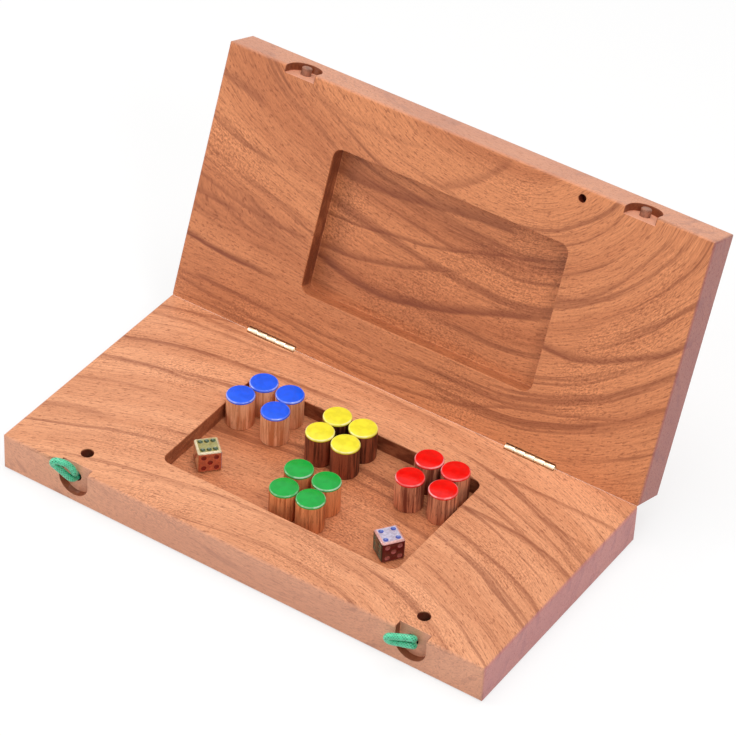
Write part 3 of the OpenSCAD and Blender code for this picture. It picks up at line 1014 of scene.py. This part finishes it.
@dataclass
class Pawn:
    """A short round pawn with a dipped top. It is made once for each colour, and copied."""

    diameter: float = 13.2 * MM
    height: float = 16.0 * MM
    paint_drop: float = 1.0 * MM
    paint_thickness: float = 0.06 * MM
    shoulder: float = 0.75 * MM
    crown: float = 0.28 * MM
    foot: float = 0.4 * MM

    def build(self, finish: PawnFinish) -> Piece:
        """Makes the first pawn of a colour, standing on the origin.

        Args:
            finish: Its paint and wood.

        Returns:
            The pawn.
        """
        clear_selection()
        side_height = self.height - self.crown
        bpy.ops.mesh.primitive_cylinder_add(vertices=56, radius=self.diameter / 2 - self.paint_thickness,
                                            depth=side_height, location=(0, 0, side_height / 2))
        piece = bpy.context.object
        piece.name = f"pawn_{finish.colour.value}"
        settle(piece)
        dress(piece, finish.materials())
        self.round_ends(piece, side_height)
        self.raise_crown(piece, side_height)
        self.dip(piece, side_height)
        smooth(piece, 40)
        return piece

    def round_ends(self, piece: Piece, side_height: float) -> None:
        """Rounds the top edge and breaks the foot's edge."""
        edit(piece, "EDGE")
        select_edges(piece, lambda a, b: min(a.z, b.z) > side_height - 0.01 * MM)
        bpy.ops.mesh.bevel(offset=self.shoulder, segments=6, affect="EDGES")
        select_edges(piece, lambda a, b: max(a.z, b.z) < 0.01 * MM)
        bpy.ops.mesh.bevel(offset=self.foot, segments=2, affect="EDGES")
        leave_edit()

    def raise_crown(self, piece: Piece, side_height: float) -> None:
        """Insets the flat top in rings and lifts each a little more than the last."""
        edit(piece)
        flat_radius = self.diameter / 2 - self.paint_thickness - self.shoulder
        rings = 5
        select_faces(piece, lambda face: face.normal.z > 0.99 and face.center.z > side_height - 0.01 * MM)
        for ring in range(rings):
            before, after = 1 - ring / rings, 1 - (ring + 1) / rings
            lift = self.crown * (before**2 - after**2)
            bpy.ops.mesh.inset(thickness=flat_radius / rings * (0.98 if ring == rings - 1 else 1), depth=0)
            bpy.ops.transform.translate(value=(0, 0, lift))
        leave_edit()

    def dip(self, piece: Piece, side_height: float) -> None:
        """Cuts the wall at the paint's edge and thickens what is above it."""
        edge = side_height - self.paint_drop
        edit(piece)
        bpy.ops.mesh.select_all(action="SELECT")
        bpy.ops.mesh.bisect(plane_co=(0, 0, edge), plane_no=(0, 0, 1))
        select_faces(piece, lambda face: face.center.z > edge)
        bpy.ops.mesh.extrude_region_shrink_fatten(TRANSFORM_OT_shrink_fatten={"value": self.paint_thickness})
        leave_edit()
        for face in piece.data.polygons:
            face.material_index = int(face.center.z > edge - 0.001 * MM)


@dataclass
class PawnSet:
    """The four pawns of one colour, where they stand in the pocket."""

    finish: PawnFinish
    pawn: Pawn = field(default_factory=Pawn)
    turn_step: float = 77

    def build(self) -> list[Piece]:
        """Makes one pawn and puts a copy of it at each CAD node's place."""
        first = self.pawn.build(self.finish)
        colour = self.finish.colour.value
        made = []
        for number in range(1, 5):
            node = f"pawn_{colour}_{number}"
            low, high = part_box(node)
            piece = copy_of(first, f"{node}_dipped")
            turn = Matrix.Rotation(math.radians(self.turn_step * number), 4, "Z")
            place = Matrix.Translation(((low.x + high.x) / 2, (low.y + high.y) / 2, low.z))
            piece.data.transform(place @ turn)
            seat(piece, f"{node}_body", f"{colour}_topped_wood", node)
            made.append(piece)
        bpy.data.objects.remove(first)
        return made


@dataclass(frozen=True)
class DieFace:
    """One face of a die: its pips, its colour and the colour of the pips."""

    pips: int
    colour: Colour
    pip_colour: Colour


@dataclass
class Die:
    """A small die with a round pip for each point, painted in the face's own colour."""

    side: Side
    turn: float
    edge_colour: Colour
    faces: dict[str, DieFace]
    edge: float = 10.9 * MM
    radius: float = 1.1 * MM
    pip_radius: float = 1.2 * MM
    pip_depth: float = 0.3 * MM
    pip_spread: float = 0.26
    directions: tuple[tuple[str, Point], ...] = (
        ("top", (0, 0, 1)), ("bottom", (0, 0, -1)), ("right", (1, 0, 0)),
        ("left", (-1, 0, 0)), ("back", (0, 1, 0)), ("front", (0, -1, 0)))

    def build(self) -> Piece:
        """Makes the die where its CAD node lies.

        Returns:
            The finished die.
        """
        node = f"{self.side.word}_die"
        clear_selection()
        bpy.ops.mesh.primitive_cube_add(size=self.edge)
        piece = bpy.context.object
        piece.name = f"{node}_painted"
        apply_modifier(piece, "BEVEL", width=self.radius, segments=4, limit_method="NONE")
        self.paint_faces(piece)
        self.sink_pips(piece)
        low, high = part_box(node)
        turn = Matrix.Rotation(math.radians(self.turn), 4, "Z")
        piece.data.transform(Matrix.Translation((low + high) / 2) @ turn)
        smooth(piece, 40)
        seat(piece, f"{node}_body", "painted_die_wood", node)
        return piece

    def paint_faces(self, piece: Piece) -> None:
        """Gives the edges one paint and each flat face its own."""
        name = piece.name
        paints = [DiePaint(f"{name}_edges", self.edge_colour).material()]
        for word, _ in self.directions:
            paints.append(DiePaint(f"{name}_{word}", self.faces[word].colour).material())
        for word, _ in self.directions:
            paints.append(DiePaint(f"{name}_{word}_pips", self.faces[word].pip_colour, 0.25).material())
        dress(piece, paints)
        for face in piece.data.polygons:
            for index, (_, direction) in enumerate(self.directions):
                limit = 0.999 if direction[2] or abs(face.normal.z) > 0.35 else 0.70
                if face.normal.dot(Vector(direction)) > limit:
                    face.material_index = index + 1

    def sink_pips(self, piece: Piece) -> None:
        """Presses the pips into the faces with round cutters."""
        cutters = []
        ball = self.pip_radius**2 / (2 * self.pip_depth) + self.pip_depth / 2
        for index, (word, direction) in enumerate(self.directions):
            normal = Vector(direction)
            upright = normal.to_track_quat("Z", "Y").to_matrix()
            for place in self.pip_places(self.faces[word].pips):
                at = upright @ Vector((*place, self.edge / 2 + ball - self.pip_depth))
                clear_selection()
                bpy.ops.mesh.primitive_uv_sphere_add(segments=24, ring_count=48, radius=ball, location=at,
                                                     rotation=upright.to_euler())
                cutter = bpy.context.object
                settle(cutter)
                dress(cutter, list(piece.data.materials))
                for face in cutter.data.polygons:
                    face.material_index = index + 1 + len(self.directions)
                cutters.append(cutter)
        take(cutters[0])
        for cutter in cutters:
            cutter.select_set(True)
        bpy.ops.object.join()
        joined = bpy.context.object
        apply_modifier(piece, "BOOLEAN", operation="DIFFERENCE", solver="EXACT", object=joined)
        bpy.data.objects.remove(joined)

    def pip_places(self, count: int) -> list[tuple[float, float]]:
        """Where the pips of a face with that many lie, from its middle."""
        step = self.edge * self.pip_spread
        places = [(0.0, 0.0)] if count % 2 else []
        if count > 1:
            places += [(-step, -step), (step, step)]
        if count > 3:
            places += [(-step, step), (step, -step)]
        if count > 5:
            places += [(-step, 0.0), (step, 0.0)]
        return places


@dataclass
class ElasticLoop:
    """A loop of braided elastic that comes out of the knot hole into the slot and back."""

    side: Side
    route: tuple[Point, ...]
    finish: BraidedElastic
    diameter: float = 2.7 * MM
    swelling: float = 1.16
    squeeze_start: float = 0.8
    squeeze_length: float = 2.0
    sides: int = 20
    ring_gap: float = 0.25 * MM
    weave_turns: int = 5
    weave_climb: float = 4.2
    weave_depth: float = 0.03
    knot_strand: float = 1.9 * MM
    knot_size: float = 0.56 * MM
    knot_rise: float = 1.3

    def build(self) -> Piece:
        """Makes the loop along its route, and its knot.

        Returns:
            The loop.
        """
        word = self.side.word
        path = self.smooth_path()
        piece = self.tube(f"{word}_elastic_loop_braid", path)
        dress(piece, [self.finish.material()])
        smooth(piece, 60)
        length = sum((b - a).length for a, b in zip(path, path[1:]))
        seat(piece, "base", "elastic", f"{word}_elastic_loop")
        knot = self.knot()
        tuple(path[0])
        [tuple(p) for p in path]
        log.info("%s is %.1f mm long", piece.name, length / MM)
        return piece

    def smooth_path(self) -> list[Vector]:
        """The route in metres, as a smooth curve with points close together."""
        origin = Vector((self.side.value * CLOSURE_X, -SLAB.y / 2, 0))
        points = [origin + Vector(p) * MM for p in self.route]
        path = []
        for i in range(len(points) - 1):
            before, start = points[max(i - 1, 0)], points[i]
            end, after = points[i + 1], points[min(i + 2, len(points) - 1)]
            steps = max(2, round((end - start).length / self.ring_gap))
            for k in range(steps):
                t = k / steps
                path.append(0.5 * (2 * start + (end - before) * t
                                   + (2 * before - 5 * start + 4 * end - after) * t * t
                                   + (3 * start - before - 3 * end + after) * t**3))
        return [*path, points[-1]]

    def tube(self, name: str, path: list[Vector]) -> Piece:
        """A tube of rings along a path, with a light braid in its surface and a UV map.

        Args:
            name: The piece's name.
            path: The points that it follows.

        Returns:
            The piece.
        """
        vertices, along = [], [0.0]
        up = Vector((0.3, 0.1, 1))
        for i, centre in enumerate(path):
            tangent = (path[min(i + 1, len(path) - 1)] - path[max(i - 1, 0)]).normalized()
            across = up.cross(tangent).normalized()
            up = tangent.cross(across)
            if i:
                along.append(along[-1] + (centre - path[i - 1]).length)
            inside = (centre.y + SLAB.y / 2) / MM - self.squeeze_start
            squeezed = min(max(inside, 0.0), self.squeeze_length) / self.squeeze_length
            free = self.swelling + (1 - self.swelling) * squeezed
            for k in range(self.sides):
                angle = math.tau * k / self.sides
                around, climb = self.weave_turns * angle, along[-1] / MM * self.weave_climb
                weave = max(math.sin(around + climb), math.sin(around - climb))
                radius = self.diameter / 2 * free * (1 - self.weave_depth + self.weave_depth * weave)
                vertices.append(centre + radius * (math.cos(angle) * across + math.sin(angle) * up))
        faces = [(i * self.sides + k, i * self.sides + (k + 1) % self.sides,
                  (i + 1) * self.sides + (k + 1) % self.sides, (i + 1) * self.sides + k)
                 for i in range(len(path) - 1) for k in range(self.sides)]
        faces.append(tuple(reversed(range(self.sides))))
        faces.append(tuple(range((len(path) - 1) * self.sides, len(path) * self.sides)))
        mesh = bpy.data.meshes.new(name)
        mesh.from_pydata(vertices, [], faces)
        layer = mesh.uv_layers.new(name="cord")
        for face in mesh.polygons[:-2]:
            ring, k = divmod(face.index, self.sides)
            corners = ((k, ring), (k + 1, ring), (k + 1, ring + 1), (k, ring + 1))
            for loop, (turn, at) in zip(face.loop_indices, corners):
                layer.data[loop].uv = (turn / self.sides, along[at] / MM)
        piece = bpy.data.objects.new(name, mesh)
        bpy.context.scene.collection.objects.link(piece)
        return piece

    def knot(self) -> Piece:
        """An overhand knot pulled tight, inside the knot hole.

        Returns:
            The knot.
        """
        word = self.side.word
        low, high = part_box(f"{word}_elastic_knot")
        middle = (low + high) / 2
        turns = 72
        path = []
        for i in range(turns + 1):
            t = math.tau * i / turns
            path.append(middle + Vector((math.sin(t) + 2 * math.sin(2 * t), math.cos(t) - 2 * math.cos(2 * t),
                                         -self.knot_rise * math.sin(3 * t))) * self.knot_size)
        strand = ElasticLoop(self.side, (), self.finish, diameter=self.knot_strand, swelling=1.0, sides=14)
        piece = strand.tube(f"{word}_elastic_knot_tied", path)
        dress(piece, [self.finish.material()])
        smooth(piece, 60)
        seat(piece, "base", "elastic", f"{word}_elastic_knot")
        return piece


@dataclass
class Hardware:
    """The brass hinges with their screws, and the wooden pegs, which keep their CAD shapes."""

    leaf_finish: Brass = Brass("hinge_brass")
    screw_finish: Brass = Brass("screw_brass", (0.82, 0.62, 0.30), 0.28)
    peg_finish: PegWood = PegWood()
    edge_radius: float = 0.06 * MM

    def build(self, nodes: dict[str, Piece]) -> None:
        """Softens the leaves' edges and dresses the rest.

        Args:
            nodes: The CAD nodes by name.
        """
        brass, screw = self.leaf_finish.material(), self.screw_finish.material()
        for side in Side:
            for leaf, body in (("base_leaf", "base"), ("lid_leaf", "lid")):
                name = f"{side.word}_hinge_{leaf}"
                piece = merged_copy(nodes[name], f"{name}_brass")
                apply_modifier(piece, "BEVEL", width=self.edge_radius, segments=2, limit_method="ANGLE",
                               angle_limit=math.radians(50))
                smooth(piece, 30)
                dress(piece, [brass])
                seat(piece, body, "brass", name)
            dress(nodes[f"{side.word}_hinge_pin"], [brass])
            dress(nodes[f"{side.word}_peg"], [self.peg_finish.material()])
        for half in Half:
            dress(nodes[f"{half.value}_hinge_screws"], [screw])


@dataclass(frozen=True)
class Softbox:
    """A soft lamp that faces the box: its place and width in metres and its power in watts."""

    name: str
    place: Point
    width: float
    power: float
    colour: Colour
    aim: Point = (0, 0.03, 0.03)

    def hang(self) -> None:
        """Hangs the lamp."""
        lamp = bpy.data.lights.new(self.name, "AREA")
        lamp.shape = "RECTANGLE"
        lamp.size = lamp.size_y = self.width
        lamp.energy = self.power
        lamp.color = self.colour
        holder = bpy.data.objects.new(self.name, lamp)
        holder.location = self.place
        holder.rotation_euler = (Vector(self.aim) - Vector(self.place)).to_track_quat("-Z", "Y").to_euler()
        bpy.context.scene.collection.objects.link(holder)


@dataclass
class Studio:
    """A pale floor, soft lamps at both sides and the camera of the photograph."""

    camera_place: Point = (623.3, -976.5, 1014.5)
    camera_turn: Point = (50.996, -2.520, 33.651)
    lens: float = 171.5
    surroundings: float = 0.44
    floor_glow: float = 0.72
    lamps: tuple[Softbox, ...] = (
        Softbox("left_softbox", (-0.95, -0.45, 0.50), 0.35, 4.4, (1.0, 0.98, 0.96)),
        Softbox("right_softbox", (0.70, -0.42, 0.85), 0.30, 3.4, (0.97, 0.98, 1.0)),
        Softbox("top_softbox", (0.05, 0.10, 1.35), 1.0, 11.0, (1.0, 0.99, 0.97)))

    def build(self) -> None:
        """Makes the floor, the lamps, the world and the camera."""
        bpy.context.scene.view_settings.view_transform = "Standard"
        self.place_camera()
        self.lay_floor()
        self.light_world()
        for lamp in self.lamps:
            lamp.hang()

    def place_camera(self) -> None:
        """Stands the camera where the photograph was taken from."""
        camera = bpy.data.cameras.new("photo_camera")
        camera.lens = self.lens
        camera.sensor_width = 36
        camera.clip_end = 20
        holder = bpy.data.objects.new("photo_camera", camera)
        holder.location = Vector(self.camera_place) * MM
        holder.rotation_euler = Euler([math.radians(a) for a in self.camera_turn])
        bpy.context.scene.collection.objects.link(holder)
        bpy.context.scene.camera = holder

    def lay_floor(self) -> None:
        """Lays a pale floor that shows nearly white and keeps the object's shadow."""
        clear_selection()
        bpy.ops.mesh.primitive_plane_add(size=12, location=(0, 0, -0.0004))
        floor = bpy.context.object
        floor.name = "pale_floor"
        bench = Bench("pale_floor")
        bench.set_surface(Base_Color=(0.90, 0.90, 0.90, 1), Roughness=0.9, Specular_IOR_Level=0.1)
        glow = bench.tree.nodes.new("ShaderNodeEmission")
        share = bench.tree.nodes.new("ShaderNodeMixShader")
        shares = (bench.times(bench.seen_ray(), self.floor_glow), bench.surface.outputs[0], glow.outputs[0])
        for socket, value in zip(share.inputs, shares):
            bench.plug(socket, value)
        bench.plug(bench.output.inputs["Surface"], share.outputs[0])
        dress(floor, [bench.material])

    def light_world(self) -> None:
        """Gives the world a plain level, and white where it is seen."""
        world = bpy.data.worlds.new("studio")
        bpy.context.scene.world = world
        world.use_nodes = True
        wiring = Wiring(world.node_tree)
        back = world.node_tree.nodes["Background"]
        back.inputs["Color"].default_value = (1, 1, 1, 1)
        level = wiring.scaled(wiring.seen_ray(), 1.0 - self.surroundings, self.surroundings)
        wiring.plug(back.inputs["Strength"], level)


LEFT_ROUTE = (
    (0, 10.8, 13.4), (0, 8, 13.4), (0, 5.2, 13.4), (0.1, 3.8, 13.5), (0.6, 2.3, 14.3),
    (1, 1, 16.2), (0.6, 0.2, 18.5), (-0.6, -1, 20.8), (-2.4, -2.5, 22.4), (-4.1, -3.7, 23.1),
    (-5.5, -4.3, 22.8), (-6.35, -4.4, 21.8), (-6.35, -3.9, 20.4), (-5.5, -3, 18.8), (-3.7, -2.1, 17),
    (-1.8, -1.1, 14.8), (-0.5, 0.3, 12.6), (-0.1, 2.1, 11.1), (0, 3.8, 10.6), (0, 5.6, 10.6),
    (0, 8, 10.6), (0, 10.8, 10.6))
RIGHT_ROUTE = (
    (0, 10.8, 13.4), (0, 8, 13.4), (0, 5.2, 13.4), (0.2, 3.7, 13.5), (1.2, 2.3, 14.4),
    (2.4, 0.9, 15.8), (2.4, -0.6, 17.1), (0.8, -1.9, 17.8), (-2.2, -3.2, 17.5), (-5.1, -4.2, 17),
    (-6.6, -4.6, 16.5), (-7.4, -4.7, 15.6), (-7.4, -4.5, 14.6), (-6.6, -4.1, 13.7), (-5, -3.5, 13.4),
    (-2.4, -2.7, 13.7), (0.4, -2, 13.9), (2.1, -0.9, 13.5), (2.6, 0.5, 12.5), (1.8, 2.1, 11.3),
    (0.6, 3.8, 10.6), (0, 5.4, 10.6), (0, 8, 10.6), (0, 10.8, 10.6))

LID_LINES = (
    GrainLine(((-127, 31.5), (-95, 28.5), (-62, 29.5)), 1.3, 0.95, fades=(0.01, 0.5)),
    GrainLine(((-127, 9.5), (-62, 5), (-12, 3), (25, 7.5), (55, 17.5), (90, 27.5), (127, 42)), 0.9, 0.5),
    GrainLine(((-115, 14), (-62, 11), (-25, 7.5), (15, 12.5), (50, 19)), 0.8, 0.5),
    GrainLine(((60, 50), (80, 51), (100, 59), (115, 67.5), (127, 78)), 1.7, 0.75, fades=(0.02, 0.02)),
    GrainLine(((88, 62), (112, 82), (127, 98)), 1.6, 0.45, fades=(0.4, 0.02)),
    GrainLine(((61, 72), (80, 82), (95, 100), (108, 122)), 1.4, 0.5, fades=(0.02, 0.1)),
    GrainLine(((-127, 52.5), (-90, 50)), 1.4, 0.5, fades=(0.01, 0.5)),
    GrainLine(((-127, 61), (-87, 53), (-60, 52)), 1.0, 0.45),
    GrainLine(((-127, 90), (-100, 81), (-76, 79)), 1.2, 0.55, fades=(0.01, 0.4)),
    GrainLine(((-127, 110), (-97, 102)), 2.2, 0.5, fades=(0.01, 0.25)),
    GrainLine(((58, 96), (75, 110), (84, 124)), 0.8, 0.5, fades=(0.1, 0.1)),
    GrainLine(((-12, 99), (6, 105), (26, 124)), 2.4, 0.4, fades=(0.3, 0.1)),
    GrainLine(((-84, 119), (-50, 112), (-8, 115)), 1.4, 0.25, fades=(0.3, 0.3)),
    GrainLine(((-62, 44), (-29, 38), (-4, 41), (21, 48), (62, 61)), 2.0, 0.8, True),
    GrainLine(((-62, 48), (-29, 52), (-4, 59), (25, 69)), 1.4, 0.6, True, (0.02, 0.4)),
    GrainLine(((-62, 64), (-29, 66), (-4, 69.5), (21, 76), (60, 87)), 0.9, 0.65, True),
    # This floor line is partly grain and partly the painted shadow that the pocket's upper wall casts on the
    # floor.
    GrainLine(((-62, 86), (-29, 84.5), (-4, 88), (40, 91)), 2.2, 0.6, True),
)
BASE_LINES = (
    GrainLine(((-127, 39), (-92, 26.5), (-62, 21.5), (-25, 18), (0, 18.5)), 1.5, 0.65, fades=(0.01, 0.25)),
    GrainLine(((-127, 54.5), (-100, 47.5), (-60, 43.5)), 1.3, 0.5, fades=(0.01, 0.3)),
    GrainLine(((-127, 75), (-108, 66), (-80, 60)), 1.4, 0.3, fades=(0.02, 0.4)),
    GrainLine(((-127, 98), (-110, 90), (-85, 87)), 2.4, 0.35, fades=(0.01, 0.5)),
    GrainLine(((-115, 5), (-62, 3.5), (10, 2.5), (60, 5)), 1.3, 0.45, fades=(0.1, 0.3)),
    GrainLine(((-127, 16), (-95, 10), (-60, 8)), 1.1, 0.4),
    GrainLine(((50, 20), (85, 17.5), (127, 19)), 1.1, 0.55, fades=(0.3, 0.01)),
    GrainLine(((60, 44.5), (92, 46), (110, 50), (127, 58)), 1.4, 0.65, fades=(0.1, 0.01)),
    GrainLine(((60, 58), (92, 66), (110, 73), (127, 84)), 1.2, 0.6, fades=(0.1, 0.01)),
    GrainLine(((85, 30), (105, 33), (127, 38)), 1.0, 0.4, fades=(0.3, 0.01)),
    GrainLine(((-85, 120), (-35, 104), (0, 100), (40, 104), (80, 118)), 1.1, 0.28, fades=(0.2, 0.2)),
)

BASE_FLOW = GrainFlow(ring_centre=(12.0, 370.0), left_stretch=1.0, right_stretch=1.25, tilt=0.5, wander=9.0,
                      seed=3.7)
LID_FLOW = GrainFlow(ring_centre=(30.0, 145.0), left_stretch=0.45, right_stretch=0.95, tilt=-0.5, wander=7.0,
                     seed=9.2)
BASE_WOOD = OiledHardwood(BASE_FLOW, Half.BASE, BASE_LINES)
# The lid's tones are darker copies of the base's: painted shade, as the upright lid gets less light than the
# base.
LID_WOOD = OiledHardwood(LID_FLOW, Half.LID, LID_LINES, light=(0.62, 0.235, 0.100),
                         middle=(0.48, 0.160, 0.064), end_grain_and_shade=(0.31, 0.105, 0.115),
                         pocket_shade=0.25, side_wall_shade=0.80, hinge_wall_shade=0.20)

# The wood tones differ from set to set, lightest for blue and nearly black for yellow: painted light and
# shade as it falls on each set and into the gaps between the pawns. The grain within each set is the wood's
# own.
PAWN_FINISHES = (
    PawnFinish(PawnColour.BLUE, (0.008, 0.105, 0.86), (0.98, 0.54, 0.31), (0.62, 0.23, 0.095)),
    PawnFinish(PawnColour.YELLOW, (0.85, 0.755, 0.040), (0.30, 0.080, 0.036), (0.04, 0.008, 0.004)),
    PawnFinish(PawnColour.GREEN, (0.004, 0.36, 0.045), (0.80, 0.30, 0.12), (0.34, 0.08, 0.022)),
    PawnFinish(PawnColour.RED, (0.80, 0.004, 0.003), (0.76, 0.31, 0.17), (0.22, 0.052, 0.028)),
)

CREAM: Colour = (0.72, 0.58, 0.36)
ROSE: Colour = (0.70, 0.34, 0.30)
LEFT_DIE_FACES = {
    "top": DieFace(6, (0.34, 0.31, 0.10), (0.020, 0.055, 0.008)),
    "right": DieFace(5, (0.62, 0.13, 0.055), (0.24, 0.006, 0.004)),
    "front": DieFace(3, (0.66, 0.30, 0.14), (0.30, 0.03, 0.02)),
    "back": DieFace(4, (0.40, 0.40, 0.55), (0.04, 0.05, 0.30)),
    "left": DieFace(2, (0.62, 0.50, 0.20), (0.30, 0.16, 0.01)),
    "bottom": DieFace(1, (0.60, 0.52, 0.40), (0.05, 0.04, 0.03)),
}
# This die's right and front faces are painted shade: much darker than the same faces on the other die, as the
# light falls on them. The pale pink of the pips on its right face is a painted highlight.
RIGHT_DIE_FACES = {
    "top": DieFace(4, (0.52, 0.47, 0.60), (0.05, 0.09, 0.40)),
    "right": DieFace(5, (0.15, 0.010, 0.011), (0.48, 0.14, 0.13)),
    "front": DieFace(6, (0.018, 0.032, 0.018), (0.10, 0.15, 0.10)),
    "back": DieFace(1, (0.60, 0.52, 0.40), (0.05, 0.04, 0.03)),
    "left": DieFace(2, (0.62, 0.50, 0.20), (0.30, 0.16, 0.01)),
    "bottom": DieFace(3, (0.66, 0.30, 0.14), (0.30, 0.03, 0.02)),
}


def main() -> None:
    """Builds the box in its order."""
    logging.basicConfig(level=logging.INFO, format="%(message)s")
    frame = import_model()
    nodes = frame["nodes"]
    Studio().build()
    elastic = BraidedElastic()
    ElasticLoop(Side.LEFT, LEFT_ROUTE, elastic).build()
    ElasticLoop(Side.RIGHT, RIGHT_ROUTE, elastic).build()
    BoardHalf(Half.BASE, BASE_WOOD).build(nodes["base_half"])
    BoardHalf(Half.LID, LID_WOOD).build(nodes["lid_half"])
    Hardware().build(nodes)
    for finish in PAWN_FINISHES:
        PawnSet(finish).build()
    Die(Side.LEFT, -43, CREAM, LEFT_DIE_FACES).build()
    Die(Side.RIGHT, -35, ROSE, RIGHT_DIE_FACES).build()


if __name__ == "__main__":
    main()
